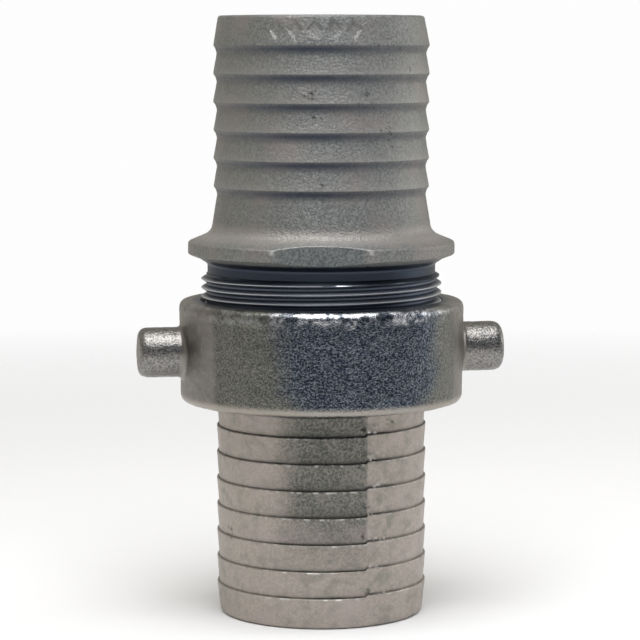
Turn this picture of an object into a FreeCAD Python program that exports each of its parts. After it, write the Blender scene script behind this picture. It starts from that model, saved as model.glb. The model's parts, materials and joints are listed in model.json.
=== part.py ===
"""Threaded pin-lug hose coupling, 2 inch, for water suction hose.

Three plated iron castings and a rubber washer stand on one upright axis, +Z:
  female_shank  the tailpiece, its hose end at z = 0 and its flange inside the nut
  gasket        the washer that lies on that flange
  swivel_nut    the ring with two lugs, which turns on the tailpiece
  male_shank    the threaded nipple, screwed into the nut, its hose end at the top
Sizes are in millimetres. The lugs point along X. The coupling is drawn hand tight.
"""

import FreeCAD, Part
import math
import os

import Sketcher

INCH = 25.4
FLANK_ANGLE = 30.0  # degrees, each flank of the 60 degree thread form
TOLERANCE = 1e-3  # how near a found edge has to be

# ---------------------------------------------------------------- driving dimensions

size = {
    # the joint's thread: 2-11.5 straight pipe thread, right hand
    "thread_pitch": INCH / 11.5,
    "thread_major_radius": 29.86,
    "thread_radial_gap": 0.22,
    "thread_flank_gap": 0.15,
    "ridge_height": 80.3,
    # the flow passage
    "bore_radius": 22.4,
    "bore_edge_break": 0.4,
    # the tailpiece
    "hose_end": 0.0,
    "tail_end_radius": 25.3,
    "tail_end_round": 1.6,
    "tail_crest_radius": 26.1,
    "tail_root_radius": 25.65,
    "tail_neck_radius": 25.95,
    "tail_barb_count": 6,
    "tail_barb_pitch": 6.57,
    "tail_crest_land": 0.3,
    "tail_first_line": 7.57,
    "journal_radius": 26.2,
    "journal_bottom": 52.25,
    "tail_flange_radius": 28.25,
    "tail_flange_thickness": 4.75,
    # the swivel nut
    "nut_bottom": 53.1,
    "nut_depth": 25.2,
    "nut_foot_radius": 35.05,
    "nut_top_radius": 35.45,
    "nut_foot_round": 1.8,
    "nut_top_round": 2.1,
    "nut_mouth_chamfer": 1.6,
    "lip_thickness": 4.65,
    "lip_bore_radius": 26.5,
    "swivel_gap": 0.15,
    "recess_radius": 30.45,
    "recess_top": 68.15,
    "lug_radius": 6.2,
    "lug_tip": 45.9,
    "lug_tip_round": 2.2,
    "lug_root_round": 1.2,
    # the washer
    "gasket_thickness": 4.5,
    "gasket_radius": 29.6,
    "gasket_hole_radius": 23.4,
    "gasket_edge_round": 0.4,
    # the male nipple
    "mouth_radius": 24.8,
    "mouth_chamfer": 1.2,
    "thread_end": 84.2,
    "relief_radius": 28.3,
    "relief_top": 87.45,
    "collar_radius": 33.05,
    "collar_bottom": 89.75,
    "collar_top": 92.75,
    "collar_edge_round": 0.8,
    "flat_half_width": 30.75,
    "flat_turn": -10.0,
    "flat_cut_depth": 4.0,
    "flat_cut_length": 30.0,
    "flare_radius": 29.1,
    "flare_height": 94.4,
    "neck_radius": 27.0,
    "neck_height": 97.35,
    "male_root_radius": 25.8,
    "male_crest_radius": 26.7,
    "male_barb_count": 5,
    "male_barb_pitch": 6.93,
    "male_barb_rise": 4.85,
    "male_crest_land": 0.4,
    "male_first_crest": 106.45,
    "male_neck_root": 104.45,
    "male_end_radius": 25.5,
    "male_end_round": 0.9,
    "male_end": 148.35,
}

# ---------------------------------------------------------------- worked-out sizes

pitch = size["thread_pitch"]
slope = math.tan(math.radians(FLANK_ANGLE))
crest_half = pitch / 16  # half of the flat on a thread's crest and in its root
clear = 1.0  # how far a cutting outline stands out of the metal

size["thread_depth"] = 0.375 * pitch / slope
size["thread_root_radius"] = size["thread_major_radius"] - size["thread_depth"]

size["tail_last_line"] = (
    size["tail_first_line"] + size["tail_barb_count"] * size["tail_barb_pitch"]
)
size["tail_next_land"] = (
    size["tail_first_line"] + size["tail_barb_pitch"] - size["tail_crest_land"]
)
size["tail_cut_radius"] = size["tail_crest_radius"] + clear
size["tail_cut_span"] = size["tail_barb_pitch"] * (size["tail_barb_count"] - 1)
size["lip_top"] = size["nut_bottom"] + size["lip_thickness"]
size["tail_flange_bottom"] = size["lip_top"] + size["swivel_gap"]
size["tail_flange_top"] = size["tail_flange_bottom"] + size["tail_flange_thickness"]
size["tail_bore_top"] = size["tail_flange_top"] - size["bore_edge_break"]
size["tail_bore_bottom"] = size["hose_end"] + size["bore_edge_break"]
size["bore_edge_radius"] = size["bore_radius"] + size["bore_edge_break"]

size["nut_top"] = size["nut_bottom"] + size["nut_depth"]
size["nut_below"] = size["nut_bottom"] - clear
size["nut_above"] = size["nut_top"] + clear
size["nut_middle"] = size["nut_bottom"] + size["nut_depth"] / 2
size["lug_span"] = 2 * size["lug_tip"]
size["nut_major_radius"] = size["thread_major_radius"] + size["thread_radial_gap"]
size["nut_minor_radius"] = size["thread_root_radius"] + size["thread_radial_gap"]
size["nut_mouth_radius"] = size["nut_minor_radius"] + size["nut_mouth_chamfer"]
size["nut_mouth_bottom"] = size["nut_top"] - size["nut_mouth_chamfer"]
size["nut_thread_bottom"] = (
    size["recess_top"] + size["recess_radius"] - size["nut_minor_radius"]
)

size["male_mouth"] = size["tail_flange_top"] + size["gasket_thickness"]
size["male_lead_radius"] = size["thread_major_radius"] - size["mouth_chamfer"]
size["male_lead_top"] = size["male_mouth"] + size["mouth_chamfer"]
size["relief_bottom"] = (
    size["thread_end"] + (size["thread_major_radius"] - size["relief_radius"]) * slope
)
size["male_crest_bottom"] = size["male_first_crest"] - size["male_crest_land"] / 2
size["male_last_crest"] = (
    size["male_first_crest"]
    + size["male_barb_count"] * size["male_barb_pitch"]
    + size["male_crest_land"] / 2
)
size["male_cut_bottom"] = size["male_first_crest"] + size["male_crest_land"] / 2
size["male_cut_root"] = size["male_first_crest"] + size["male_barb_rise"]
size["male_cut_top"] = size["male_crest_bottom"] + size["male_barb_pitch"]
size["male_cut_radius"] = size["male_crest_radius"] + clear
size["male_cut_span"] = size["male_barb_pitch"] * (size["male_barb_count"] - 1)
size["male_bore_top"] = size["male_end"] - size["bore_edge_break"]
size["flat_cut_edge"] = size["flat_half_width"] + size["flat_cut_depth"]

# The thread grooves rise anticlockwise from the +X side. One ridge of the male thread
# is centred at ridge_height there, and the nut's groove follows that ridge. Each
# groove starts and ends where there is no metal.
size["male_groove_start"] = size["ridge_height"] - 6.5 * pitch
size["male_groove_end"] = (size["relief_bottom"] + size["relief_top"]) / 2
size["male_groove_rise"] = size["male_groove_end"] - size["male_groove_start"]
size["nut_groove_start"] = size["ridge_height"] - 7 * pitch
size["nut_groove_rise"] = size["ridge_height"] - size["nut_groove_start"]

ridge_foot = crest_half + size["thread_depth"] * slope
nut_floor_half = (
    crest_half + size["thread_flank_gap"] - size["thread_radial_gap"] * slope
)
nut_mouth_half = (
    ridge_foot + size["thread_flank_gap"] - size["thread_radial_gap"] * slope
)
for name, start, narrow, wide in (
    ("male", size["male_groove_start"], crest_half, ridge_foot),
    ("nut", size["nut_groove_start"], nut_floor_half, nut_mouth_half),
):
    size[f"{name}_floor_low"] = start - narrow
    size[f"{name}_floor_high"] = start + narrow
    size[f"{name}_mouth_low"] = start - wide
    size[f"{name}_mouth_high"] = start + wide
size["male_groove_outside"] = size["thread_major_radius"] + clear
size["nut_groove_inside"] = size["nut_minor_radius"] - clear

# ---------------------------------------------------------------- document and sheet

doc = FreeCAD.newDocument("hose_coupling")
sheet = doc.addObject("Spreadsheet::Sheet", "sizes")
for row, (name, value) in enumerate(size.items(), start=1):
    sheet.set(f"A{row}", name)
    sheet.set(f"B{row}", str(round(value, 6)))
    sheet.setAlias(f"B{row}", name)
doc.recompute()

# ---------------------------------------------------------------- modelling helpers


def bind(thing, prop, name):
    """Binds a property to the sheet's cell of that name."""
    thing.setExpression(prop, f"sizes.{name}")


def new_body(name):
    body = doc.addObject("PartDesign::Body", name)
    body.Label = name
    return body


def datum(body, role):
    """One of the body's own origin planes or axes."""
    return next(f for f in body.Origin.OriginFeatures if f.Role == role)


def new_sketch(body, name, role):
    sketch = body.newObject("Sketcher::SketchObject", name)
    sketch.AttachmentSupport = [(datum(body, role), "")]
    sketch.MapMode = "FlatFace"
    return sketch


def hold(sketch, line, across, up):
    """Holds the start of a line at (across, up). "axis" is a distance of zero."""
    for kind, name, through in (("DistanceX", across, -2), ("DistanceY", up, -1)):
        if name == "axis" or size[name] == 0:
            sketch.addConstraint(Sketcher.Constraint("PointOnObject", line, 1, through))
        else:
            distance = Sketcher.Constraint(kind, -1, 1, line, 1, size[name])
            bind(sketch, f"Constraints[{sketch.addConstraint(distance)}]", name)


def polygon(body, name, corners, role="XZ_Plane"):
    """A closed sketch through corners, each a pair of size names."""
    sketch = new_sketch(body, name, role)
    points = [
        FreeCAD.Vector(size.get(across, 0), size.get(up, 0), 0) for across, up in corners
    ]
    count = len(points)
    for i in range(count):
        sketch.addGeometry(Part.LineSegment(points[i], points[(i + 1) % count]), False)
    for i, corner in enumerate(corners):
        sketch.addConstraint(Sketcher.Constraint("Coincident", i, 2, (i + 1) % count, 1))
        hold(sketch, i, *corner)
    return sketch


def turned(body, name, corners, cut=False):
    """Turns an outline right round Z, to add metal or to cut it."""
    sketch = polygon(body, f"{name}_outline", corners)
    kind = "PartDesign::Groove" if cut else "PartDesign::Revolution"
    feature = body.newObject(kind, name)
    feature.Profile = sketch
    feature.ReferenceAxis = (sketch, ["V_Axis"])
    feature.Angle = 360
    doc.recompute()
    return feature


def repeated(body, name, feature, span, count):
    """Repeats a feature up Z, count times over the span."""
    pattern = body.newObject("PartDesign::LinearPattern", name)
    pattern.Originals = [feature]
    pattern.Direction = (datum(body, "Z_Axis"), [""])
    bind(pattern, "Length", span)
    bind(pattern, "Occurrences", count)
    body.Tip = pattern
    doc.recompute()
    return pattern


def thread_groove(body, name, corners, rise):
    """Cuts a right-hand helical groove of that section."""
    sketch = polygon(body, f"{name}_section", corners)
    feature = body.newObject("PartDesign::SubtractiveHelix", name)
    feature.Profile = sketch
    feature.ReferenceAxis = (sketch, ["V_Axis"])
    feature.Mode = "pitch-height-angle"
    bind(feature, "Pitch", "thread_pitch")
    bind(feature, "Height", rise)
    doc.recompute()
    return feature


def rounded(body, name, feature, edges, radius):
    """Rounds edges of the last feature. edges holds numbers counted from 0."""
    fillet = body.newObject("PartDesign::Fillet", name)
    fillet.Base = (feature, [f"Edge{number + 1}" for number in edges])
    bind(fillet, "Radius", radius)
    doc.recompute()
    return fillet


def near(value, target):
    return abs(value - target) < TOLERANCE


def ring_edges(feature, radius, height):
    """Numbers of the circles round Z of that radius and height."""
    found = []
    for number, edge in enumerate(feature.Shape.Edges):
        if not isinstance(edge.Curve, Part.Circle):
            continue
        centre = edge.Curve.Center
        on_axis = near(math.hypot(centre.x, centre.y), 0)
        if on_axis and near(edge.Curve.Radius, size[radius]) and near(centre.z, size[height]):
            found.append(number)
    return found


def lug_edges(feature, at_tip):
    """Numbers of the edges round the two lugs, at their tips or at their roots."""
    found = []
    for number, edge in enumerate(feature.Shape.Edges):
        if isinstance(edge.Curve, Part.Line):
            continue
        points = edge.discretize(Number=9)
        off_axis = [math.hypot(p.y, p.z - size["nut_middle"]) for p in points]
        round_lug = all(near(distance, size["lug_radius"]) for distance in off_axis)
        if round_lug and near(abs(points[0].x), size["lug_tip"]) == at_tip:
            found.append(number)
    return found


# ---------------------------------------------------------------- the pieces


def female_shank():
    body = new_body("female_shank")
    blank = turned(body, "tail_blank", [
        ("bore_edge_radius", "hose_end"),
        ("tail_end_radius", "hose_end"),
        ("tail_crest_radius", "tail_first_line"),
        ("tail_crest_radius", "tail_last_line"),
        ("tail_root_radius", "tail_last_line"),
        ("tail_neck_radius", "journal_bottom"),
        ("journal_radius", "journal_bottom"),
        ("journal_radius", "tail_flange_bottom"),
        ("tail_flange_radius", "tail_flange_bottom"),
        ("tail_flange_radius", "tail_flange_top"),
        ("bore_edge_radius", "tail_flange_top"),
        ("bore_radius", "tail_bore_top"),
        ("bore_radius", "tail_bore_bottom"),
    ])
    end = ring_edges(blank, "tail_end_radius", "hose_end")
    rounded(body, "tail_end_rounding", blank, end, "tail_end_round")
    barb = turned(body, "tail_barb", [
        ("tail_root_radius", "tail_first_line"),
        ("tail_cut_radius", "tail_first_line"),
        ("tail_cut_radius", "tail_next_land"),
        ("tail_crest_radius", "tail_next_land"),
    ], cut=True)
    repeated(body, "tail_barbs", barb, "tail_cut_span", "tail_barb_count")
    return body


def gasket():
    body = new_body("gasket")
    ring = turned(body, "washer", [
        ("gasket_hole_radius", "tail_flange_top"),
        ("gasket_radius", "tail_flange_top"),
        ("gasket_radius", "male_mouth"),
        ("gasket_hole_radius", "male_mouth"),
    ])
    edges = []
    for radius in ("gasket_hole_radius", "gasket_radius"):
        for height in ("tail_flange_top", "male_mouth"):
            edges += ring_edges(ring, radius, height)
    rounded(body, "washer_edges", ring, edges, "gasket_edge_round")
    return body


def swivel_nut():
    body = new_body("swivel_nut")
    blank = turned(body, "nut_blank", [
        ("axis", "nut_bottom"),
        ("nut_foot_radius", "nut_bottom"),
        ("nut_top_radius", "nut_top"),
        ("axis", "nut_top"),
    ])
    foot = ring_edges(blank, "nut_foot_radius", "nut_bottom")
    blank = rounded(body, "nut_foot_rounding", blank, foot, "nut_foot_round")
    top = ring_edges(blank, "nut_top_radius", "nut_top")
    rounded(body, "nut_top_rounding", blank, top, "nut_top_round")
    lugs = cast_lugs(body)
    lugs = rounded(body, "lug_tips", lugs, lug_edges(lugs, True), "lug_tip_round")
    rounded(body, "lug_roots", lugs, lug_edges(lugs, False), "lug_root_round")
    turned(body, "nut_passage", [
        ("axis", "nut_below"),
        ("lip_bore_radius", "nut_below"),
        ("lip_bore_radius", "lip_top"),
        ("recess_radius", "lip_top"),
        ("recess_radius", "recess_top"),
        ("nut_minor_radius", "nut_thread_bottom"),
        ("nut_minor_radius", "nut_mouth_bottom"),
        ("nut_mouth_radius", "nut_top"),
        ("nut_mouth_radius", "nut_above"),
        ("axis", "nut_above"),
    ], cut=True)
    thread_groove(body, "nut_thread", [
        ("nut_groove_inside", "nut_mouth_low"),
        ("nut_minor_radius", "nut_mouth_low"),
        ("nut_major_radius", "nut_floor_low"),
        ("nut_major_radius", "nut_floor_high"),
        ("nut_minor_radius", "nut_mouth_high"),
        ("nut_groove_inside", "nut_mouth_high"),
    ], "nut_groove_rise")
    return body


def cast_lugs(body):
    """One round bar right through the blank, which leaves a lug at each side."""
    sketch = new_sketch(body, "lug_section", "YZ_Plane")
    middle = FreeCAD.Vector(0, size["nut_middle"], 0)
    circle = Part.Circle(middle, FreeCAD.Vector(0, 0, 1), size["lug_radius"])
    sketch.addGeometry(circle, False)
    sketch.addConstraint(Sketcher.Constraint("PointOnObject", 0, 3, -2))
    height = Sketcher.Constraint("DistanceY", -1, 1, 0, 3, size["nut_middle"])
    bind(sketch, f"Constraints[{sketch.addConstraint(height)}]", "nut_middle")
    radius = Sketcher.Constraint("Radius", 0, size["lug_radius"])
    bind(sketch, f"Constraints[{sketch.addConstraint(radius)}]", "lug_radius")
    lugs = body.newObject("PartDesign::Pad", "lugs")
    lugs.Profile = sketch
    lugs.SideType = "Symmetric"
    bind(lugs, "Length", "lug_span")
    doc.recompute()
    return lugs


def male_shank():
    body = new_body("male_shank")
    blank = turned(body, "nipple_blank", [
        ("mouth_radius", "male_mouth"),
        ("male_lead_radius", "male_mouth"),
        ("thread_major_radius", "male_lead_top"),
        ("thread_major_radius", "thread_end"),
        ("relief_radius", "relief_bottom"),
        ("relief_radius", "relief_top"),
        ("collar_radius", "collar_bottom"),
        ("collar_radius", "collar_top"),
        ("flare_radius", "flare_height"),
        ("neck_radius", "neck_height"),
        ("male_root_radius", "male_neck_root"),
        ("male_crest_radius", "male_crest_bottom"),
        ("male_crest_radius", "male_last_crest"),
        ("male_end_radius", "male_end"),
        ("bore_edge_radius", "male_end"),
        ("bore_radius", "male_bore_top"),
        ("bore_radius", "neck_height"),
        ("mouth_radius", "collar_bottom"),
    ])
    rim = ring_edges(blank, "collar_radius", "collar_bottom")
    rim += ring_edges(blank, "collar_radius", "collar_top")
    blank = rounded(body, "collar_edges", blank, rim, "collar_edge_round")
    end = ring_edges(blank, "male_end_radius", "male_end")
    rounded(body, "male_end_rounding", blank, end, "male_end_round")
    barb = turned(body, "male_barb", [
        ("male_crest_radius", "male_cut_bottom"),
        ("male_cut_radius", "male_cut_bottom"),
        ("male_cut_radius", "male_cut_top"),
        ("male_crest_radius", "male_cut_top"),
        ("male_root_radius", "male_cut_root"),
    ], cut=True)
    repeated(body, "male_barbs", barb, "male_cut_span", "male_barb_count")
    wrench_flats(body)
    thread_groove(body, "male_thread", [
        ("thread_root_radius", "male_floor_low"),
        ("thread_major_radius", "male_mouth_low"),
        ("male_groove_outside", "male_mouth_low"),
        ("male_groove_outside", "male_mouth_high"),
        ("thread_major_radius", "male_mouth_high"),
        ("thread_root_radius", "male_floor_high"),
    ], "male_groove_rise")
    return body


def wrench_flats(body):
    """Two flats across the collar, turned a little from the lugs' direction."""
    sketch = polygon(body, "flat_outline", [
        ("flat_half_width", "relief_top"),
        ("flat_cut_edge", "relief_top"),
        ("flat_cut_edge", "neck_height"),
        ("flat_half_width", "neck_height"),
    ], "YZ_Plane")
    turn = FreeCAD.Rotation(FreeCAD.Vector(0, 1, 0), size["flat_turn"])
    sketch.AttachmentOffset = FreeCAD.Placement(FreeCAD.Vector(0, 0, 0), turn)
    bind(sketch, ".AttachmentOffset.Rotation.Angle", "flat_turn")
    flat = body.newObject("PartDesign::Pocket", "wrench_flat")
    flat.Profile = sketch
    flat.SideType = "Symmetric"
    bind(flat, "Length", "flat_cut_length")
    doc.recompute()
    pair = body.newObject("PartDesign::PolarPattern", "wrench_flats")
    pair.Originals = [flat]
    pair.Axis = (datum(body, "Z_Axis"), [""])
    pair.Angle = 360
    pair.Occurrences = 2
    body.Tip = pair
    doc.recompute()


pieces = [female_shank(), gasket(), swivel_nut(), male_shank()]
doc.recompute()

# ---------------------------------------------------------------- checks and export

for thing in doc.Objects:
    if {"Invalid", "Error"} & set(thing.State):
        raise RuntimeError(f"{thing.Name} failed: {thing.State}")
os.makedirs("parts", exist_ok=True)
for piece in pieces:
    shape = piece.Shape
    if shape.isNull() or not shape.isValid() or len(shape.Solids) != 1:
        raise RuntimeError(f"{piece.Label} is not one valid solid")
for piece in pieces:
    piece.Shape.exportStep(f"parts/{piece.Label}.step")
    box = piece.Shape.BoundBox
    print(
        f"{piece.Label}: volume {piece.Shape.Volume:.0f}, "
        f"z {box.ZMin:.2f} to {box.ZMax:.2f}, x {box.XMin:.2f} to {box.XMax:.2f}"
    )
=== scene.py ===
"""Looks of a threaded pin-lug hose coupling: plated iron castings and a rubber washer.

Each casting is one closed mesh. A profile of (radius, height) corners is turned round the
axis, the threads follow a true helix, and moving the points along their normals gives the
skin that a sand mould leaves. The nut is a ring and two lugs joined, with its inside cut
out. Sizes are in millimetres, and finish_piece scales them to metres.
"""

import json
import math

import bmesh
import bpy
import numpy as np
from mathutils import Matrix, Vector, noise


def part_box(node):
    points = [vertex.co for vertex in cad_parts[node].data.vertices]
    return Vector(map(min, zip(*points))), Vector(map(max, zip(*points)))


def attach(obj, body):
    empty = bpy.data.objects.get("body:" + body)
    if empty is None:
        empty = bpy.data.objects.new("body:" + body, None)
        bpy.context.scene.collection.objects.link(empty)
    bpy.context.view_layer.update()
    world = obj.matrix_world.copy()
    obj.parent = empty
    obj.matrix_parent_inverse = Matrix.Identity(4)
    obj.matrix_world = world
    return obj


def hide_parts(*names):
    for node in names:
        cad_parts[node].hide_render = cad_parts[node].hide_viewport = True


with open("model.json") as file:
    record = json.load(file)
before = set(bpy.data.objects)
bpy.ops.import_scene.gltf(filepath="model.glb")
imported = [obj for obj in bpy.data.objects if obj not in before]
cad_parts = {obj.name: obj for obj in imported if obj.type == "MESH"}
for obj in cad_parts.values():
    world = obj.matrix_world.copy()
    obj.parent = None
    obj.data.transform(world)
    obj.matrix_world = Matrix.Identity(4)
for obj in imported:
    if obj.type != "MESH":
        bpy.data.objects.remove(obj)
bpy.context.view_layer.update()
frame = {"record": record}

MM = 0.001

# ------------------------------------------------------------------ sizes from the frame


def heights(node):
    """Lowest and highest z of a CAD node, in millimetres."""
    low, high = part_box(node)
    return low.z / MM, high.z / MM


def reach(node):
    """Largest x of a CAD node, in millimetres: its radius, or the tip of a lug."""
    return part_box(node)[1].x / MM


TAIL_LOW, TAIL_HIGH = heights("female_shank")
NUT_LOW, NUT_HIGH = heights("swivel_nut")
MOUTH, MALE_TOP = heights("male_shank")
FLANGE = reach("female_shank")
COLLAR = reach("male_shank")
LUG_TIP = reach("swivel_nut")
NUT_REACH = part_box("swivel_nut")[1].y / MM  # the ring's radius, square to the lugs
LIP_TOP = NUT_LOW + 4.65

BORE = 22.4
BORE_EDGE = 22.8

# The thread, as in CAD: 2-11.5, right hand. A male ridge is RIDGE above the origin on +X.
INCH = 25.4
PITCH = INCH / 11.5
FLANK_SLOPE = math.tan(math.radians(30))
THREAD_MAJOR = 29.86
THREAD_DEPTH = 0.375 * PITCH / FLANK_SLOPE
THREAD_ROOT = THREAD_MAJOR - THREAD_DEPTH
THREAD_GAP = 0.22
RIDGE = 80.3

FRONT = -100.0  # degrees anticlockwise from +X: the side with the wrench flat
CREASE = 35.0  # degrees between two faces, from which their edge is drawn crisp

# ------------------------------------------------------------------ mesh making


def fillet_path(corners, step):
    """Points along (radius, height, rounding) corners, with curves in place of rounded
    corners and no gap wider than step."""
    points = [np.array(c[:2], float) for c in corners]
    rounding = [c[2] if len(c) > 2 else 0.0 for c in corners]
    path = [points[0]]
    for i in range(1, len(points) - 1):
        back, ahead = points[i - 1] - points[i], points[i + 1] - points[i]
        reach_back, reach_ahead = np.linalg.norm(back), np.linalg.norm(ahead)
        back, ahead = back / reach_back, ahead / reach_ahead
        turn = math.pi - math.acos(np.clip(back @ ahead, -1, 1))
        cut = min(rounding[i] * math.tan(turn / 2), 0.49 * reach_back, 0.49 * reach_ahead)
        if cut < 0.02:
            path.append(points[i])
            continue
        start, end = points[i] + back * cut, points[i] + ahead * cut
        pieces = max(2, math.ceil(turn / math.radians(15)))
        for k in range(pieces + 1):  # a quadratic curve, close to the arc
            t = k / pieces
            path.append((1 - t) ** 2 * start + 2 * t * (1 - t) * points[i] + t * t * end)
    path.append(points[-1])
    dense = [path[0]]
    for start, end in zip(path, path[1:]):
        length = np.linalg.norm(end - start)
        if length < 1e-6:
            continue
        count = max(1, math.ceil(length / step))
        dense += [start + (end - start) * k / count for k in range(1, count + 1)]
    return dense


class Skin:
    """Vertices and faces of a turned body, added ring by ring."""

    def __init__(self, columns):
        self.columns = columns
        self.angles = np.arange(columns) * (2 * math.pi / columns)
        self.points = []
        self.count = 0
        self.faces = []
        self.last = None

    def add(self, radii, height):
        """One ring of points, numbered from the value returned."""
        radii = np.broadcast_to(np.asarray(radii, float), self.angles.shape)
        height = np.broadcast_to(np.asarray(height, float), self.angles.shape)
        ring = np.stack(
            [radii * np.cos(self.angles), radii * np.sin(self.angles), height], axis=1
        )
        self.points.append(ring)
        self.count += self.columns
        return self.count - self.columns

    def join(self, first, second):
        """Quads between two rings."""
        for i in range(self.columns):
            k = (i + 1) % self.columns
            self.faces.append((first + i, first + k, second + k, second + i))

    def ring(self, radii, height):
        """Adds a ring and joins it to the one before."""
        new = self.add(radii, height)
        if self.last is not None:
            self.join(self.last, new)
        self.last = new
        return new

    def path(self, corners, step):
        for radius, height in fillet_path(corners, step):
            self.ring(radius, height)

    def close_loop(self):
        """Joins the last ring to the first."""
        self.join(self.last, 0)

    def cap(self, low, high):
        """Closes the first and the last ring to a point on the axis at each height."""
        start, end = self.count, self.count + 1
        self.points.append(np.array([[0.0, 0.0, low], [0.0, 0.0, high]]))
        self.count += 2
        for i in range(self.columns):
            k = (i + 1) % self.columns
            self.faces.append((k, i, start))
            self.faces.append((self.last + i, self.last + k, end))

    def helix(self, low, high, radius_at, upward):
        """A band of thread between two heights. Its rows climb with the thread, so
        that each ridge stays crisp. radius_at takes the phase, from -0.5 to 0.5 of a
        pitch about a ridge, and the height."""
        phases = (-0.4, -0.22, -0.07, -0.045, 0.045, 0.07, 0.22, 0.4)
        per_turn = len(phases)
        base = RIDGE - PITCH * math.ceil((RIDGE - low) / PITCH + 1.5)
        rows = per_turn * math.ceil((high - base) / PITCH + 1.5)
        bottom = self.add(self.thread_ring(low, radius_at), low)
        top = self.add(self.thread_ring(high, radius_at), high)
        number = {}
        extra = []

        def vertex(i, j):
            if i == self.columns:
                i, j = 0, j + per_turn
            turn, phase = divmod(j, per_turn)
            height = base + (turn + phases[phase] + i / self.columns) * PITCH
            if height <= low + 1e-4:
                return bottom + i
            if height >= high - 1e-4:
                return top + i
            if (i, j) not in number:
                number[i, j] = self.count + len(extra)
                r = radius_at(phases[phase], height)
                a = self.angles[i]
                extra.append((r * math.cos(a), r * math.sin(a), height))
            return number[i, j]

        for i in range(self.columns):
            for j in range(-per_turn, rows):
                corners = (vertex(i, j), vertex(i + 1, j), vertex(i + 1, j + 1), vertex(i, j + 1))
                face = [v for k, v in enumerate(corners) if v != corners[k - 1]]
                if len(set(face)) >= 3:
                    self.faces.append(tuple(face[::-1] if upward else face))
        self.points.append(np.array(extra))
        self.count += len(extra)
        first, second = (bottom, top) if upward else (top, bottom)
        if self.last is not None:
            self.join(self.last, first)
        self.last = second

    def thread_ring(self, height, radius_at):
        """Radii of the thread where a level plane cuts it."""
        phase = (height - RIDGE) / PITCH - self.angles / (2 * math.pi)
        phase = (phase + 0.5) % 1.0 - 0.5
        return [radius_at(f, height) for f in phase]

    def mesh(self, name):
        data = bpy.data.meshes.new(name)
        data.from_pydata(np.concatenate(self.points).tolist(), [], self.faces)
        data.update()
        return data


def thread_radius(phase, root, depth):
    """The 60 degree thread form, its crest a little worn."""
    away = abs(phase)
    radius = root + depth * min(max((0.4375 - away) / 0.375, 0.0), 1.0)
    return radius - (0.05 if 0.06 < away < 0.1 else 0.0)


def piece(name, data):
    ob = bpy.data.objects.new(name, data)
    bpy.context.scene.collection.objects.link(ob)
    return ob


def coordinates(data):
    co = np.empty(len(data.vertices) * 3)
    data.vertices.foreach_get("co", co)
    return co.reshape(-1, 3)


def normals(data):
    vectors = np.empty(len(data.vertices) * 3)
    data.vertices.foreach_get("normal", vectors)
    return vectors.reshape(-1, 3)


def set_coordinates(data, co):
    data.vertices.foreach_set("co", co.ravel())
    data.update()


def store(data, name, values):
    """Keeps one number per vertex for the material to read."""
    attribute = data.attributes.get(name) or data.attributes.new(name, "FLOAT", "POINT")
    attribute.data.foreach_set("value", np.asarray(values, np.float32))


def sampled_noise(co, wavelength, seed):
    """Smooth noise from -1 to 1 at each point."""
    shift = Vector((seed * 13.7, seed * 5.1, seed * 9.3))
    return np.array([noise.noise(Vector(p) / wavelength + shift) for p in co])


def smooth_step(value, low, high):
    t = np.clip((value - low) / (high - low), 0, 1)
    return t * t * (3 - 2 * t)


def bump(distance, width):
    """1 at a distance of zero, fading to 0 beyond width."""
    return np.exp(-((distance / width) ** 2))


def angle_from(co, degrees):
    """Signed angle of each point from that direction, in degrees."""
    angle = np.degrees(np.arctan2(co[:, 1], co[:, 0])) - degrees
    return (angle + 180) % 360 - 180


def arc_from(co, degrees):
    """Signed distance round the surface from that direction, in millimetres."""
    return np.radians(angle_from(co, degrees)) * np.hypot(co[:, 0], co[:, 1])


def cast_skin(co, seed):
    """Height of a sand-cast skin at each point: swells, orange peel and grain."""
    swell = 0.09 * sampled_noise(co, 7.0, seed)
    peel = 0.045 * sampled_noise(co, 1.7, seed + 1)
    grain = 0.035 * sampled_noise(co, 0.8, seed + 2)
    return swell + peel + grain


def parting_line(co, degrees, width):
    """The line where two halves of a mould met, on that side and on the opposite one."""
    return bump(arc_from(co, degrees), width) + bump(arc_from(co, degrees + 180), width)


def pores(co, places):
    """Depth of small blow holes, and how pitted the skin round them is. Each place is
    (degrees, height, spread, count)."""
    rng = np.random.default_rng(7)
    depth = np.zeros(len(co))
    pitted = np.zeros(len(co))
    for degrees, height, spread, count in places:
        across = arc_from(co, degrees)
        up = co[:, 2] - height
        pitted = np.maximum(pitted, bump(np.hypot(across, up), 0.9 * spread + 0.3))
        for _ in range(count):
            dx, dz = rng.normal(0, spread, 2)
            width = rng.uniform(0.2, 0.34)
            depth += rng.uniform(0.08, 0.26) * bump(np.hypot(across - dx, up - dz), width)
    return depth, pitted


def store_cast(data, cast, hole, pitted):
    """Stores how much of a casting's skin is unmachined, and where it has blow holes."""
    store(data, "cast", cast)
    store(data, "pore", np.clip(hole * 4, 0, 1) * cast)
    store(data, "pitted", pitted * cast)


def finish_piece(ob, node, material):
    """Scales to metres, sets smooth shading with crisp edges, and lets the piece stand
    for its CAD node."""
    data = ob.data
    set_coordinates(data, coordinates(data) * MM)
    mesh = bmesh.new()
    mesh.from_mesh(data)
    bmesh.ops.recalc_face_normals(mesh, faces=mesh.faces)
    for edge in mesh.edges:
        edge.smooth = edge.calc_face_angle(0.0) < math.radians(CREASE)
    for face in mesh.faces:
        face.smooth = True
    mesh.to_mesh(data)
    mesh.free()
    data.materials.clear()
    data.materials.append(material)
    bodies = frame["record"]["behaviour"]["bodies"]
    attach(ob, next(body for body, nodes in bodies.items() if node in nodes))
    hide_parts(node)


# ------------------------------------------------------------------ male shank

MALE_COLUMNS = 480
CAST_STEP = 0.36  # gap between rings on a cast surface
MACHINED_STEP = 3.0

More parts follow.
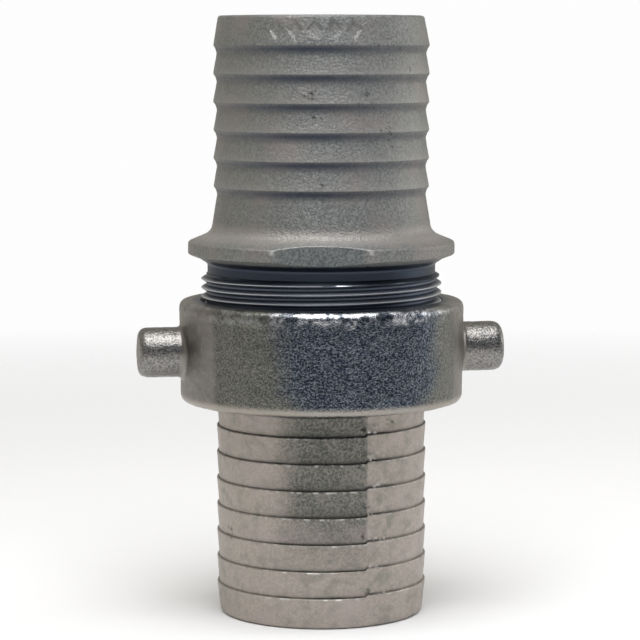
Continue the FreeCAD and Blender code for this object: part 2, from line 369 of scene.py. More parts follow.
MALE_END = 25.4
MALE_CREST = 26.7
MALE_ROOT = 25.8
MALE_BARBS = 6
MALE_BARB_PITCH = 6.93
MALE_FIRST_CREST = MALE_TOP - 7.25
BARBS_END = 104.0  # just below the last rib's root
NECK = 27.35
NECK_HEIGHT = 95.15
COLLAR_TOP = 92.7
COLLAR_FOOT = 89.8
COLLAR_BEVEL = 30.4
FLAT_APOTHEM = 30.75
FLAT_TOP = 96.5  # the wrench flats cut nothing above this height
RELIEF = 28.3
RELIEF_LOW = 85.1
RELIEF_HIGH = 87.4
MOUTH_FACE = 28.0
MOUTH_BORE = 24.8
MOUTH_BORE_TOP = 89.75
BORE_START = 97.35
BORE_CAST = 88.0  # the inside is a cast surface above this height
MALE_WALL = 25.0  # tells the outside from the bore
MALE_PARTING = FRONT + 21.4

MALE_PORES = [
    (FRONT - 5, 129.8, 1.3, 10),
    (FRONT + 24, 129.6, 0.8, 5),
    (FRONT + 25, 127.9, 1.3, 6),
    (FRONT + 54, 135.2, 0.5, 2),
    (FRONT + 38, 141.6, 1.6, 4),
    (FRONT + 37, 120.3, 2.0, 6),
    (FRONT - 5, 124.1, 0.4, 2),
    (FRONT + 1, 107.6, 0.5, 3),
    (FRONT + 130, 126.5, 2.0, 6),
    (FRONT - 140, 113.5, 2.0, 6),
]


def male_profile():
    """The outside, from the top end down to the relief groove."""
    corners = [(BORE_EDGE, MALE_TOP), (MALE_END, MALE_TOP, 0.9)]
    for k in range(MALE_BARBS):
        crest = MALE_FIRST_CREST - k * MALE_BARB_PITCH
        corners += [
            (MALE_CREST, crest, 0.5),
            (MALE_CREST - 0.5, crest - 0.75, 0.3),
            (MALE_ROOT, crest - 1.9, 1.4),
        ]
    return corners + [
        (NECK, NECK_HEIGHT, 3.5),
        (COLLAR, COLLAR_TOP, 0.9),
        (COLLAR, COLLAR_FOOT, 0.35),
        (COLLAR_BEVEL, COLLAR_FOOT - 1.05, 1.2),
        (RELIEF, RELIEF_HIGH, 1.0),
        (RELIEF, RELIEF_LOW + 0.3),
    ]


def male_thread_radius(phase, height):
    """The thread between its lead at the mouth and its run-out at the relief groove."""
    lead = THREAD_MAJOR - 1.2 + height - MOUTH
    run_out = RELIEF + (RELIEF_LOW - height) / FLANK_SLOPE
    return min(thread_radius(phase, THREAD_ROOT, THREAD_DEPTH), lead, run_out)


def male_skin():
    """The turned body with its thread and its bore."""
    skin = Skin(MALE_COLUMNS)
    skin.path(male_profile(), CAST_STEP)
    skin.helix(MOUTH, RELIEF_LOW, male_thread_radius, upward=False)
    skin.path([
        (MOUTH_FACE, MOUTH),
        (MOUTH_BORE, MOUTH),
        (MOUTH_BORE, MOUTH_BORE_TOP),
        (BORE, BORE_START),
        (BORE, MALE_TOP - 0.4),
    ], MACHINED_STEP)
    skin.close_loop()
    return skin


def cut_flats(co, radius, outside):
    """Moves the points of the two wrench flats in, and returns how near each point is to
    a flat's edge."""
    edge = np.zeros(len(co))
    cut = outside & (co[:, 2] < FLAT_TOP)
    for side in (FRONT, FRONT + 180):
        past = radius * np.cos(np.radians(angle_from(co, side))) - FLAT_APOTHEM
        over = np.where(cut, np.maximum(past, 0), 0)
        edge = np.maximum(edge, bump(past - 0.08, 0.2))
        turn = math.radians(side)
        co[:, 0] -= over * math.cos(turn)
        co[:, 1] -= over * math.sin(turn)
    return edge


def lozenges(co, centre, height, count, spacing):
    """Height of a row of small raised lozenges, a plain foundry mark."""
    raised = np.zeros(len(co))
    for k in range(count):
        across = arc_from(co, centre + (k - (count - 1) / 2) * spacing)
        inside = 1 - np.abs(across) / 1.9 - np.abs(co[:, 2] - height) / 2.5
        raised = np.maximum(raised, smooth_step(inside, 0.0, 0.25))
    return raised


def flat_area(co, radius):
    """1 on the two wrench flats, fading towards their ends."""
    turn = np.radians(angle_from(co, FRONT))
    low, high = FLAT_APOTHEM - 0.35, FLAT_APOTHEM - 0.05
    facing = smooth_step(np.abs(radius * np.cos(turn)), low, high) * (radius > low)
    return facing * (1 - smooth_step(np.abs(radius * np.sin(turn)), 8.5, 12.6))


def store_male_places(data, co, radius, outside, mark):
    """Stores where the shank gets painted shade under its barb crests and in the relief groove,
    painted highlights on the flare and the thread crests, where it is coarse, its flats, a
    lighter band above each barb crest and wear on its raised marks.
    """
    z = co[:, 2]
    below = (MALE_FIRST_CREST - z) % MALE_BARB_PITCH
    on_barbs = outside & (z > BARBS_END) & (z < MALE_FIRST_CREST)
    front = bump(angle_from(co, FRONT - 6), 38.0)
    crest = smooth_step((radius - THREAD_ROOT) / THREAD_DEPTH, 0.8, 1.0)
    on_flat = (z > COLLAR_FOOT - 0.9) & (z < COLLAR_TOP + 1.5)
    # Painted highlight on the flare above the collar.
    flare_highlight = smooth_step(z, COLLAR_TOP + 0.3, COLLAR_TOP + 1.8)
    flare_highlight *= 1 - smooth_step(z, COLLAR_TOP + 3.3, COLLAR_TOP + 5.8)
    # Lighter just above each barb crest.
    mark_wear_and_crest_band = np.where(on_barbs, np.exp(-(MALE_BARB_PITCH - below) / 1.6), 0.0)
    # Painted shade and painted reflection: a dark band under each barb crest, strongest on the
    # front.
    store(data, "shade_under_crest", np.where(on_barbs, bump(below - 0.9, 1.15) * (0.4 + 0.6 * front), 0.0))
    store(data, "coarse", outside * (0.25 + 0.75 * bump(angle_from(co, FRONT + 12), 50.0)))
    # Painted highlight along the thread crests.
    store(data, "crest", np.where(z < RELIEF_LOW - 0.3, crest, 0.0))
    store(data, "flat", np.where(on_flat, flat_area(co, radius), 0.0))
    store(data, "flare_highlight", flare_highlight)
    # Painted shade: the machined faces from the relief groove up are darkened.
    store(data, "groove", smooth_step(z, RELIEF_LOW - 0.5, RELIEF_LOW))
    store(data, "mark_wear_and_crest_band", np.maximum(mark_wear_and_crest_band, bump(mark - 0.6, 0.4) * (mark > 0.05)))


def male_casting():
    ob = piece("male_casting", male_skin().mesh("male_casting"))
    data = ob.data
    co, normal = coordinates(data), normals(data)
    radius, z = np.hypot(co[:, 0], co[:, 1]), co[:, 2]
    outside = (radius > MALE_WALL) & (z > RELIEF_HIGH)
    cast = np.where(outside, smooth_step(z, RELIEF_HIGH + 0.9, RELIEF_HIGH + 1.5), 0.0)
    cast = np.where((radius < MALE_WALL) & (z > BORE_CAST), 0.5, cast)
    flat_edge = cut_flats(co, radius, outside)
    hole, pitted = pores(co, MALE_PORES)
    gaps = smooth_step(sampled_noise(co, 2.2, 31), -0.2, 0.4)
    seam = parting_line(co, MALE_PARTING, 0.35) * gaps
    mark = lozenges(co, FRONT - 3.5, MALE_TOP - 3.6, 5, 10.5)
    lift = cast_skin(co, 3) + 0.1 * seam + 0.48 * mark - hole
    co += normal * (cast * lift)[:, None]
    co[:, 2] = np.clip(co[:, 2], MOUTH, MALE_TOP)
    set_coordinates(data, co)
    at_edge = (z > COLLAR_TOP - 1.2) & (z < COLLAR_TOP + 2.1)
    store(data, "flat_edge", np.where(at_edge, flat_edge, 0.0))
    store_male_places(data, co, radius, outside, mark)
    store_cast(data, cast, hole, pitted)
    finish_piece(ob, "male_shank", male_metal())


# ------------------------------------------------------------------ tailpiece

TAIL_COLUMNS = 480
TAIL_CREST = 26.1
TAIL_ROOT = 25.62
TAIL_LINES = 7
TAIL_BARB_PITCH = 6.57
TAIL_FIRST_LINE = 7.57
TAIL_END = 25.25
JOURNAL = 26.2
JOURNAL_LOW = 52.25
JOURNAL_FOOT = 25.95
FLANGE_LOW = LIP_TOP + 0.15
TAIL_WALL = 24.0  # tells the outside from the bore
TAIL_PARTING = FRONT + 25.3
MISMATCH = 0.55  # how much higher one half of the mould lay
STEP_OUT = 0.07  # and how much further out

TAIL_PORES = [
    (FRONT + 24, 48.9, 0.5, 7),
    (FRONT + 23, 22.6, 0.4, 5),
    (FRONT + 26, 8.6, 0.6, 6),
    (FRONT + 25, 42.5, 0.5, 5),
    (FRONT + 24, 29.6, 0.5, 4),
    (FRONT - 60, 22.6, 1.2, 6),
    (FRONT + 40, 49.5, 0.8, 4),
    (FRONT + 120, 28.6, 3.0, 9),
    (FRONT - 150, 18.6, 3.0, 9),
]


def tail_profile():
    """The outside, from the flange's top down to the lower end."""
    corners = [
        (BORE_EDGE, TAIL_HIGH),
        (FLANGE, TAIL_HIGH, 0.3),
        (FLANGE, FLANGE_LOW, 0.3),
        (JOURNAL, FLANGE_LOW, 0.3),
        (JOURNAL, JOURNAL_LOW, 0.1),
        (JOURNAL_FOOT, JOURNAL_LOW - 0.1, 0.1),
    ]
    for k in reversed(range(TAIL_LINES)):
        line = TAIL_FIRST_LINE + k * TAIL_BARB_PITCH
        corners += [
            (TAIL_ROOT, line + 0.35),
            (TAIL_ROOT - 0.1, line + 0.12, 0.05),
            (TAIL_CREST - 0.12, line, 0.12),
            (TAIL_CREST, line - 0.2, 0.1),
        ]
    return corners + [(TAIL_END, TAIL_LOW, 1.7), (BORE_EDGE, TAIL_LOW), (BORE, TAIL_LOW + 0.4)]


def tail_skin():
    """The turned body with its bore."""
    skin = Skin(TAIL_COLUMNS)
    skin.path(tail_profile(), CAST_STEP)
    skin.path([(BORE, TAIL_LOW + 0.5), (BORE, TAIL_HIGH - 0.4)], MACHINED_STEP)
    skin.close_loop()
    return skin


def mould_half(co):
    """0 on one side of the parting line and 1 on the other."""
    past_front = smooth_step(arc_from(co, TAIL_PARTING), -0.35, 0.35)
    past_back = smooth_step(arc_from(co, TAIL_PARTING + 180), -0.35, 0.35)
    behind = np.abs(angle_from(co, TAIL_PARTING + 180)) < 90
    return past_front * (1 - past_back * behind)


def rough_patch(co, far_half):
    """The rough patch beside the parting line, as 0 to 1. Its skin is coarser, and its darker
    colour is partly a painted reflection.
    """
    toward_line = smooth_step(angle_from(co, FRONT), -30, -8)
    patch = (1 - far_half) * toward_line * smooth_step(co[:, 2], 10.0, 34.0)
    return np.clip(patch * (1.0 + 0.5 * sampled_noise(co, 5.0, 43)), 0.0, 1.0)


def serration_marks(co, outside):
    """Painted shade and painted glints of the serrations, each as 0 to 1."""
    z = co[:, 2]
    in_lines = (z > 5) & (z < JOURNAL_LOW - 1) & outside
    front = bump(angle_from(co, FRONT + 4), 34.0)
    above = (z - TAIL_FIRST_LINE) % TAIL_BARB_PITCH
    wobble = 0.75 + 0.5 * sampled_noise(co, 3.0, 49)
    # Painted shade: a dark line in each serration's crease and a soft dark band above it,
    # strongest on the front.
    dark = bump(above - 0.2, 0.4) * (0.35 + 0.65 * front) * wobble
    dark += 0.7 * front * np.exp(-above / 1.8) * (0.35 + 0.65 * smooth_step(z, 8.0, 30.0))
    dark = np.where(in_lines, np.clip(dark, 0.0, 1.0), 0.0)
    # Painted glints: a thin bright line along each crest edge, and glints on the lines just past
    # the parting line.
    edge = np.where(in_lines, bump(TAIL_BARB_PITCH - above - 0.12, 0.13), 0.0)
    bright = edge * (0.25 + 0.75 * front) * smooth_step(sampled_noise(co, 1.3, 47), 0.0, 0.35)
    past_seam = arc_from(co, TAIL_PARTING)
    near_seam = (past_seam > 0.2) & (past_seam < 5.5)
    bright += dark * near_seam * smooth_step(sampled_noise(co, 0.9, 48), 0.05, 0.35)
    bright = np.clip(bright, 0.0, 1.0)
    return dark * (1 - bright), bright


def tail_casting():
    ob = piece("tail_casting", tail_skin().mesh("tail_casting"))
    data = ob.data
    co, normal = coordinates(data), normals(data)
    radius, z = np.hypot(co[:, 0], co[:, 1]), co[:, 2]
    outside = radius > TAIL_WALL
    cast = np.where(outside, 1 - smooth_step(z, JOURNAL_LOW - 0.6, JOURNAL_LOW), 0.4)
    ends = smooth_step(z, 1.0, 6.0) * (1 - smooth_step(z, JOURNAL_LOW - 3, JOURNAL_LOW))
    far_half = mould_half(co)
    coarse = rough_patch(co, far_half)
    dark, bright = serration_marks(co, outside)
    hole, pitted = pores(co, TAIL_PORES)
    gaps = smooth_step(sampled_noise(co, 2.0, 41), -0.3, 0.4)
    seam = parting_line(co, TAIL_PARTING, 0.4) * gaps
    lift = cast_skin(co, 11) * (0.4 + 0.9 * coarse) + 0.08 * seam
    lift += STEP_OUT * (far_half - 0.5) * outside - hole
    co += normal * (cast * lift)[:, None]
    co[:, 2] += MISMATCH * far_half * ends * cast * outside
    co[:, 2] = np.clip(co[:, 2], TAIL_LOW, TAIL_HIGH)
    set_coordinates(data, co)
    store(data, "coarse", coarse)
    # line holds the serrations' painted shade, glint their painted glints.
    store(data, "line", dark)
    store(data, "glint", bright)
    store_cast(data, cast, hole, pitted)
    finish_piece(ob, "female_shank", tail_metal())


# ------------------------------------------------------------------ swivel nut

NUT_COLUMNS = 256
NUT_VOXEL = 0.36
NUT_FOOT = 35.05
NUT_SIDE = 35.45
LIP_BORE = 26.5
RECESS = 30.45
RECESS_TOP = 68.15
LUG = 6.2
LUG_COLUMNS = 64
NUT_MIDDLE = (NUT_LOW + NUT_HIGH) / 2
BLANK_STEP = 0.8
UNDIVIDED = 30.0  # longer than any straight stretch of the cutter
CLEAR = 2.0  # how far the cutter stands out of the nut, below and above


def turned_solid(name, corners, columns):
    """A closed solid turned round Z, from a profile that starts and ends on the axis."""
    skin = Skin(columns)
    path = fillet_path(corners, BLANK_STEP)
    for radius, height in path[1:-1]:
        skin.ring(radius, height)
    skin.cap(path[0][1], path[-1][1])
    return piece(name, skin.mesh(name))


def lug_blank(side):
    """A round lug with a flared root and a rounded tip, lying along X."""
    ob = turned_solid("lug_blank", [
        (0.0, 30.0),
        (LUG + 1.6, 30.0),
        (LUG + 1.6, 34.2, 0.4),
        (LUG, 35.6, 1.6),
        (LUG, LUG_TIP, 2.4),
        (0.0, LUG_TIP),
    ], LUG_COLUMNS)
    co = coordinates(ob.data)
    turned = np.stack([side * co[:, 2], side * co[:, 1], co[:, 0]], axis=1)
    turned[:, 2] += NUT_MIDDLE
    set_coordinates(ob.data, turned)
    return ob


def nut_thread_radius(phase, height):
    """The nut's thread follows the male ridge with a gap all round."""
    cut = thread_radius(phase, THREAD_ROOT, THREAD_DEPTH) + THREAD_GAP
    entry = THREAD_ROOT + THREAD_GAP + 1.6 - (NUT_HIGH - height)
    from_recess = RECESS - (height - RECESS_TOP)
    return max(cut, entry, from_recess)


def nut_cutter():
    """What is machined out of the nut: lip bore, recess, thread and mouth."""
    skin = Skin(NUT_COLUMNS)
    skin.path([
        (LIP_BORE, NUT_LOW - CLEAR),
        (LIP_BORE, LIP_TOP),
        (RECESS, LIP_TOP),
        (RECESS, RECESS_TOP - 0.3),
    ], UNDIVIDED)
    skin.helix(RECESS_TOP, NUT_HIGH, nut_thread_radius, upward=True)
    skin.ring(RECESS + 1.8, NUT_HIGH + CLEAR)
    skin.cap(NUT_LOW - CLEAR, NUT_HIGH + CLEAR)
    return piece("nut_cutter", skin.mesh("nut_cutter"))


def face_outward(ob):
    """Turns every face of a closed mesh to the outside, as a boolean needs."""
    mesh = bmesh.new()
    mesh.from_mesh(ob.data)
    bmesh.ops.recalc_face_normals(mesh, faces=mesh.faces)
    mesh.to_mesh(ob.data)
    mesh.free()


def apply_modifiers(ob):
    evaluated = ob.evaluated_get(bpy.context.evaluated_depsgraph_get())
    data = bpy.data.meshes.new_from_object(evaluated)
    ob.modifiers.clear()
    ob.data = data


def combine(ob, other, operation):
    """Boolean of two closed meshes, which uses up the second."""
    face_outward(other)
    modifier = ob.modifiers.new("boolean", "BOOLEAN")
    modifier.object = other
    modifier.operation = operation
    modifier.solver = "MANIFOLD"
    apply_modifiers(ob)
    bpy.data.objects.remove(other)


def nut_blank():
    """The ring with its two lugs, made one closed mesh with soft inner corners."""
    ob = turned_solid("nut_casting", [
        (0.0, NUT_LOW),
        (NUT_FOOT, NUT_LOW, 1.9),
        (NUT_SIDE, NUT_HIGH, 2.2),
        (0.0, NUT_HIGH),
    ], NUT_COLUMNS)
    face_outward(ob)
    for side in (1, -1):
        combine(ob, lug_blank(side), "UNION")
    remesh = ob.modifiers.new("remesh", "REMESH")
    remesh.mode = "VOXEL"
    remesh.voxel_size = NUT_VOXEL
    smooth = ob.modifiers.new("smooth", "SMOOTH")
    smooth.iterations = 6
    apply_modifiers(ob)
    return ob


def roughen_nut(data):
    """Gives the blank its cast skin, kept inside the CAD's box."""
    co, normal = coordinates(data), normals(data)
    skinned = smooth_step(np.hypot(co[:, 0], co[:, 1]), 31.5, 33.0)
    co += normal * (skinned * 1.15 * cast_skin(co, 21))[:, None]
    co[:, 0] = np.clip(co[:, 0], -LUG_TIP, LUG_TIP)
    co[:, 1] = np.clip(co[:, 1], -NUT_REACH, NUT_REACH)
    co[:, 2] = np.clip(co[:, 2], NUT_LOW, NUT_HIGH)
    set_coordinates(data, co)


def nut_reflection_fields(co):
    """1 on the nut's front and its back, which are darker, partly in the zinc's own tone and
    partly a painted reflection, with an uneven border.
    """
    faces = 0.0
    corner = 7.0 * (1 - smooth_step(co[:, 2], NUT_LOW + 2.0, NUT_LOW + 7.0))
    for facing in (FRONT + 17.5, FRONT + 197.5):
        turn = np.abs(angle_from(co, facing)) - 4 * sampled_noise(co, 6.0, 63)
        faces = np.maximum(faces, 1 - smooth_step(turn, 25.0 - corner, 42.0 - corner))
    return faces


def store_nut_places(data):
    """Stores where the finished nut is smooth, where its front and back carry a dark painted
    reflection, a painted highlight on its top rim and a painted floor reflection on its foot.
    """
    co = coordinates(data)
    radius, z = np.hypot(co[:, 0], co[:, 1]), co[:, 2]
    faces = nut_reflection_fields(co)
    gaps = smooth_step(sampled_noise(co, 3.1, 61) + 0.7 * sampled_noise(co, 0.9, 62), -0.3, 0.45)
    ragged = z + 1.1 * sampled_noise(co, 2.3, 64)
    # Painted highlight: a ragged bright band round the top rounding, mostly on front and back.
    rim_highlight = smooth_step(ragged, NUT_HIGH - 3.9, NUT_HIGH - 2.3) * smooth_step(radius, 33.4, 34.2)
    from_lugs = np.abs((angle_from(co, 0.0) + 90) % 180 - 90) - 3 * sampled_noise(co, 7.0, 65)
    store(data, "cast", smooth_step(radius, 31.2, 32.6))
    store(data, "lug", smooth_step(radius, 36.2, 37.2))
    # Painted reflection of the floor along the nut's lower edge.
    store(data, "foot_reflection", 1 - smooth_step(z, NUT_LOW + 1.2, NUT_LOW + 2.6))
    # side is where the dark painted reflection of front and back gives way to the lighter sides.
    store(data, "side", 1 - faces)
    store(data, "smooth", 1 - smooth_step(from_lugs, 31.0, 35.0))
    store(data, "rim_highlight", rim_highlight * gaps * (0.2 + 0.8 * faces))


def nut_casting():
    ob = nut_blank()
    roughen_nut(ob.data)
    combine(ob, nut_cutter(), "DIFFERENCE")
    store_nut_places(ob.data)
    finish_piece(ob, "swivel_nut", nut_metal())


# ------------------------------------------------------------------ washer

WASHER_COLUMNS = 160
WASHER_STEP = 0.9
WASHER_BORE = 23.4
WASHER_SEAM = 26.0  # where its outline starts and ends, on the flat underside


def washer():
    low, high = heights("gasket")
    outer = reach("gasket")
    skin = Skin(WASHER_COLUMNS)
    skin.path([
        (WASHER_SEAM, low),
        (outer, low, 0.5),
        (outer, high, 0.5),
        (WASHER_BORE, high, 0.5),
        (WASHER_BORE, low, 0.5),
        (WASHER_SEAM - 0.2, low),
    ], WASHER_STEP)
    skin.close_loop()
    ob = piece("rubber_washer", skin.mesh("rubber_washer"))
    finish_piece(ob, "gasket", rubber())


# ------------------------------------------------------------------ materials


class Nodes:
    """Short ways to add and join the nodes of one tree."""

    def __init__(self, tree):
        self.tree = tree

    def new(self, kind, **settings):
        node = self.tree.nodes.new("ShaderNode" + kind)
        for name, value in settings.items():
            setattr(node, name, value)
        return node

    def put(self, socket, value):
        """Joins another node's output to a socket, or sets it to a value or a colour."""
        if isinstance(value, bpy.types.NodeSocket):
            self.tree.links.new(value, socket)
        elif socket.type == "RGBA":
            socket.default_value = (*value, 1.0)
        else:
            socket.default_value = value

    def remap(self, value, low, high, to_low=0.0, to_high=1.0):
        node = self.new("MapRange")
        self.put(node.inputs["Value"], value)
        self.put(node.inputs["From Min"], low)
        self.put(node.inputs["From Max"], high)
        self.put(node.inputs["To Min"], to_low)
        self.put(node.inputs["To Max"], to_high)
        return node.outputs["Result"]

    def math(self, operation, a, b):
        node = self.new("Math", operation=operation)
        self.put(node.inputs[0], a)
        self.put(node.inputs[1], b)
        return node.outputs[0]

    def vector_math(self, operation, a, b):
        node = self.new("VectorMath", operation=operation)
        self.put(node.inputs[0], a)
        self.put(node.inputs[1], b)
        return node

    def mix(self, factor, first, second):
        """A colour between two colours."""
        node = self.new("Mix", data_type="RGBA")
        self.put(node.inputs["Factor"], factor)
        self.put(node.inputs[6], first)
        self.put(node.inputs[7], second)
        return node.outputs[2]

    def blend(self, factor, first, second):
        """A number between two numbers."""
        node = self.new("Mix", data_type="FLOAT")
        self.put(node.inputs["Factor"], factor)
        self.put(node.inputs[2], first)
        self.put(node.inputs[3], second)
        return node.outputs[0]


class Surface(Nodes):
    """The nodes of a material. Wavelengths and depths are in millimetres."""

    def __init__(self, name):
        self.material = bpy.data.materials.new(name)
        self.material.use_nodes = True
        super().__init__(self.material.node_tree)
        self.inputs = self.tree.nodes["Principled BSDF"].inputs
        scale = self.new("VectorMath", operation="SCALE")
        self.put(scale.inputs[0], self.new("TexCoord").outputs["Object"])
        self.put(scale.inputs["Scale"], 1 / MM)
        self.place = scale.outputs[0]

    def noise(self, wavelength, detail=3.0, roughness=0.6, stretch=None):
        place = self.place
        if stretch is not None:
            place = self.vector_math("MULTIPLY", place, stretch).outputs[0]
        node = self.new("TexNoise")
        self.put(node.inputs["Vector"], place)
        self.put(node.inputs["Scale"], 1 / wavelength)
        self.put(node.inputs["Detail"], detail)
        self.put(node.inputs["Roughness"], roughness)
        return node.outputs["Fac"]

    def cells(self, wavelength):
        node = self.new("TexVoronoi")
        self.put(node.inputs["Vector"], self.place)
        self.put(node.inputs["Scale"], 1 / wavelength)
        return node.outputs["Distance"]

    def attribute(self, name, strength=1.0):
        """A number stored on the mesh, or 0 where the mesh has none of that name."""
        number = self.new("Attribute", attribute_name=name).outputs["Fac"]
        return number if strength == 1.0 else self.math("MULTIPLY", number, strength)

    def bump(self, height, depth):
        node = self.new("Bump")
        self.put(node.inputs["Height"], height)
        self.put(node.inputs["Strength"], 1.0)
        self.put(node.inputs["Distance"], depth * MM)
        return node.outputs["Normal"]


def machined(n):
    """Colour, roughness and height of a turned zinc face. The male shank's relief groove above
    its thread is darkened with painted shade, and its thread crests carry a painted highlight."""
    lines = n.noise(0.5, 2.0, 0.5, stretch=(0.06, 0.06, 1.0))
    crest = n.attribute("crest")
    colour = n.mix(lines, (0.10, 0.115, 0.15), (0.16, 0.18, 0.22))
    # Painted shade in the relief groove above the thread.
    colour = n.mix(n.attribute("groove"), colour, (0.05, 0.062, 0.085))
    # Painted highlight along the male thread's crests.
    colour = n.mix(crest, colour, (0.62, 0.64, 0.68))
    return colour, n.blend(crest, 0.42, 0.27), n.math("MULTIPLY", lines, 0.08)


def pits(n):
    """Fine dark specks where the skin is pitted, and the larger blow holes."""
    speck = n.remap(n.cells(0.75), 0.16, 0.3, 1.0, 0.0)
    speck = n.math("MULTIPLY", speck, n.remap(n.noise(1.3, 1.0), 0.46, 0.56))
    fine = n.math("MULTIPLY", speck, n.remap(n.attribute("pitted"), 0.15, 0.7))
    return n.math("MAXIMUM", fine, n.attribute("pore"))


def plated_iron(n, colour, rough, height, depth, metallic):
    """Joins a cast skin to the machined faces by the attribute cast. metallic is the
    skin's own; the machined faces are bare metal."""
    cast = n.attribute("cast")
    turned_colour, turned_rough, turned_height = machined(n)
    n.put(n.inputs["Base Color"], n.mix(cast, turned_colour, colour))
    n.put(n.inputs["Metallic"], metallic if metallic == 1.0 else n.blend(cast, 1.0, metallic))
    n.put(n.inputs["Roughness"], n.blend(cast, turned_rough, rough))
    n.put(n.inputs["Normal"], n.bump(n.blend(cast, turned_height, height), depth))
    return n.material


def male_metal():
    n = Surface("male_zinc")
    coarse = n.attribute("coarse")
    grain = n.noise(0.6, 3.0, 0.6)
    cloud = n.noise(11.0, 2.0, 0.5)
    colour = n.mix(n.remap(grain, 0.38, 0.62), (0.18, 0.185, 0.175), (0.27, 0.27, 0.25))
    cool = n.mix(n.remap(grain, 0.40, 0.60), (0.150, 0.162, 0.165), (0.275, 0.285, 0.278))
    colour = n.mix(n.remap(coarse, 0.4, 1.0, 0.0, 0.7), colour, cool)
    colour = n.mix(n.remap(cloud, 0.5, 0.72, 0.0, 0.6), colour, (0.31, 0.265, 0.25))
    # Lighter just above each barb crest, and worn on the raised marks.
    colour = n.mix(n.attribute("mark_wear_and_crest_band", 0.55), colour, (0.36, 0.35, 0.33))
    # Painted highlight on the flare above the collar.
    colour = n.mix(n.attribute("flare_highlight", 0.5), colour, (0.42, 0.385, 0.36))
    flat_colour = n.mix(n.remap(grain, 0.4, 0.6), (0.09, 0.105, 0.115), (0.21, 0.225, 0.225))
    colour = n.mix(n.attribute("flat", 0.75), colour, flat_colour)
    colour = n.mix(n.attribute("flat_edge", 0.8), colour, (0.6, 0.59, 0.57))
    # Painted shade and reflection under each barb crest.
    colour = n.mix(n.attribute("shade_under_crest", 0.95), colour, (0.035, 0.042, 0.065))
    colour = n.mix(pits(n), colour, (0.022, 0.02, 0.02))
    rough = n.remap(n.noise(2.4, 2.0), 0.3, 0.7, 0.44, 0.54)
    height = n.math("MULTIPLY", grain, n.remap(coarse, 0.0, 1.0, 0.4, 2.3))
    return plated_iron(n, colour, rough, height, 0.14, 0.55)


def tail_metal():
    n = Surface("tail_zinc")
    coarse = n.attribute("coarse")
    grain = n.noise(0.62, 3.0, 0.62)
    cloud = n.noise(3.6, 3.0, 0.6)
    colour = n.mix(n.remap(grain, 0.38, 0.6), (0.37, 0.33, 0.288), (0.445, 0.395, 0.35))
    colour = n.mix(n.remap(cloud, 0.48, 0.66, 0.0, 0.9), colour, (0.28, 0.272, 0.232))
    colour = n.mix(n.remap(n.noise(7.0, 2.0), 0.5, 0.7, 0.0, 0.6), colour, (0.47, 0.39, 0.375))
    # The rough patch: coarser skin, its darkness partly a painted reflection.
    rough_skin_and_reflection = n.mix(n.remap(grain, 0.40, 0.60), (0.115, 0.12, 0.108), (0.275, 0.265, 0.228))
    colour = n.mix(coarse, colour, rough_skin_and_reflection)
    # Painted shade at the serrations.
    colour = n.mix(n.attribute("line", 0.85), colour, (0.05, 0.052, 0.045))
    colour = n.mix(n.attribute("glint"), colour, (0.80, 0.78, 0.75))
    colour = n.mix(pits(n), colour, (0.04, 0.038, 0.035))
    rough = n.remap(n.noise(2.6, 2.0), 0.3, 0.7, 0.40, 0.52)
    height = n.math("MULTIPLY", grain, n.remap(coarse, 0.0, 1.0, 0.6, 2.8))
    return plated_iron(n, colour, rough, height, 0.15, 0.6)


def nut_metal():
    n = Surface("nut_zinc")
    side = n.attribute("side")
    lug = n.attribute("lug")
    smooth = n.attribute("smooth")
    grain = n.noise(0.46, 2.0, 0.65)
    # Dark speckled front and back are partly a painted reflection; plain is the lighter sides,
    # partly their own tone and partly painted reflection.
    colour = n.mix(n.remap(grain, 0.43, 0.62), (0.026, 0.036, 0.058), (0.20, 0.225, 0.255))
    plain = n.mix(n.remap(grain, 0.38, 0.62), (0.095, 0.10, 0.092), (0.235, 0.232, 0.205))
    plain = n.mix(smooth, plain, n.mix(n.noise(2.5), (0.20, 0.19, 0.175), (0.30, 0.28, 0.26)))
    colour = n.mix(side, colour, plain)
    lug_colour = n.mix(n.remap(grain, 0.38, 0.6), (0.14, 0.14, 0.142), (0.335, 0.32, 0.298))
    colour = n.mix(lug, colour, lug_colour)
    # Painted highlight round the top rim.
    colour = n.mix(n.attribute("rim_highlight", 0.9), colour, (0.76, 0.77, 0.79))
    # Painted floor reflection along the lower edge.
    colour = n.mix(n.attribute("foot_reflection", 0.75), colour, (0.40, 0.365, 0.32))
    rough = n.blend(lug, n.blend(side, 0.27, 0.38), 0.33)
    height = n.math("MULTIPLY", grain, n.blend(lug, n.blend(smooth, 1.0, 0.35), 1.0))
    return plated_iron(n, colour, rough, height, 0.13, 1.0)


def rubber():
    n = Surface("washer_rubber")
    speck = n.noise(0.6, 3.0)
    n.put(n.inputs["Base Color"], n.mix(speck, (0.012, 0.012, 0.013), (0.03, 0.03, 0.03)))
    n.put(n.inputs["Roughness"], n.remap(speck, 0.3, 0.7, 0.55, 0.75))
    n.put(n.inputs["Normal"], n.bump(n.noise(0.35, 2.0), 0.05))
    return n.material


# ------------------------------------------------------------------ camera, floor and light

DISTANCE = 644.8
CAMERA_HEIGHT = 141.15
AIM_HEIGHT = 72.95
AIM_ASIDE = -0.33
LENS = 146.25
FLOOR_RADIUS = 700.0
WALL = (0.45, 0.435, 0.40)
NAVY = (0.042, 0.053, 0.078)
GROUND = (0.58, 0.55, 0.51)
STUDIO = (0.985, 0.985, 0.985)
NAVY_SIDE = FRONT + 25


def direction(degrees):
    """The level direction at that angle anticlockwise from +X."""
    return Vector((math.cos(math.radians(degrees)), math.sin(math.radians(degrees)), 0))


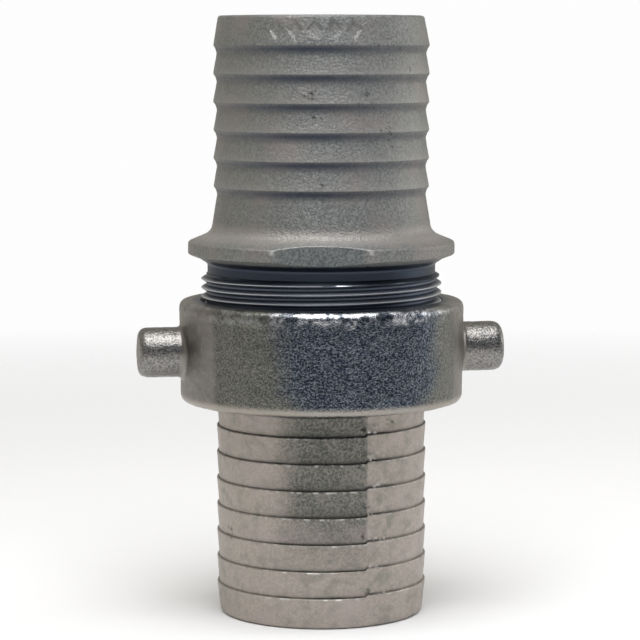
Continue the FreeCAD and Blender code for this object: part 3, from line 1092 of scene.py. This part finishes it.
def camera():
    data = bpy.data.cameras.new("camera")
    data.lens = LENS
    ob = bpy.data.objects.new("camera", data)
    bpy.context.scene.collection.objects.link(ob)
    aside = direction(FRONT + 90) * AIM_ASIDE
    eye = direction(FRONT) * DISTANCE + aside + Vector((0, 0, CAMERA_HEIGHT))
    aim = aside + Vector((0, 0, AIM_HEIGHT))
    ob.location = eye * MM
    ob.rotation_euler = (aim - eye).to_track_quat("-Z", "Y").to_euler()
    data.clip_start, data.clip_end = 0.02, 20.0
    bpy.context.scene.camera = ob


def floor():
    """A pale round floor that fades out into the pale surround."""
    mesh = bmesh.new()
    bmesh.ops.create_circle(mesh, cap_ends=True, radius=FLOOR_RADIUS * MM, segments=96)
    data = bpy.data.meshes.new("floor")
    mesh.to_mesh(data)
    mesh.free()
    ob = piece("floor", data)
    n = Surface("floor_white")
    n.put(n.inputs["Base Color"], (0.95, 0.95, 0.95))
    n.put(n.inputs["Roughness"], 0.9)
    n.put(n.inputs["Specular IOR Level"], 0.1)
    distance = n.new("VectorMath", operation="LENGTH")
    n.put(distance.inputs[0], n.place)
    fade = n.remap(distance.outputs["Value"], 0.25 * FLOOR_RADIUS, 0.95 * FLOOR_RADIUS, 1.0, 0.0)
    n.put(n.inputs["Alpha"], fade)
    data.materials.append(n.material)


def area_light(name, azimuth, distance, height, size, power):
    """A soft square light that faces the object's middle. Azimuth counts from FRONT."""
    data = bpy.data.lights.new(name, "AREA")
    data.shape = "SQUARE"
    data.size = size
    data.energy = power
    ob = bpy.data.objects.new(name, data)
    bpy.context.scene.collection.objects.link(ob)
    ob.location = (direction(FRONT + azimuth) * distance + Vector((0, 0, height))) * MM
    aim = Vector((0, 0, AIM_HEIGHT)) * MM
    ob.rotation_euler = (aim - ob.location).to_track_quat("-Z", "Y").to_euler()


def surround():
    """A pale studio seen direct. What the metal mirrors is dim navy in front, and grey
    at the sides and above."""
    world = bpy.data.worlds.new("studio")
    bpy.context.scene.world = world
    world.use_nodes = True
    world.node_tree.nodes.clear()
    n = Nodes(world.node_tree)
    place = n.new("TexCoord").outputs["Generated"]
    facing = n.vector_math("DOT_PRODUCT", place, direction(NAVY_SIDE)).outputs["Value"]
    wall = n.mix(n.remap(facing, -0.15, 0.45), WALL, NAVY)
    split = n.new("SeparateXYZ")
    n.put(split.inputs[0], place)
    mirrored = n.new("Background")
    n.put(mirrored.inputs[0], n.mix(n.remap(split.outputs["Z"], -0.02, -0.12), wall, GROUND))
    seen = n.new("Background")
    n.put(seen.inputs[0], STUDIO)
    both = n.new("MixShader")
    n.put(both.inputs[0], n.new("LightPath").outputs["Is Camera Ray"])
    n.put(both.inputs[1], mirrored.outputs[0])
    n.put(both.inputs[2], seen.outputs[0])
    n.put(n.new("OutputWorld").inputs[0], both.outputs[0])


camera()
floor()
surround()
area_light("overhead", azimuth=0, distance=300, height=850, size=0.75, power=8.5)
area_light("right_side", azimuth=105, distance=800, height=300, size=0.45, power=1.6)
bpy.context.scene.view_settings.view_transform = "Standard"

male_casting()
nut_casting()
tail_casting()
washer()
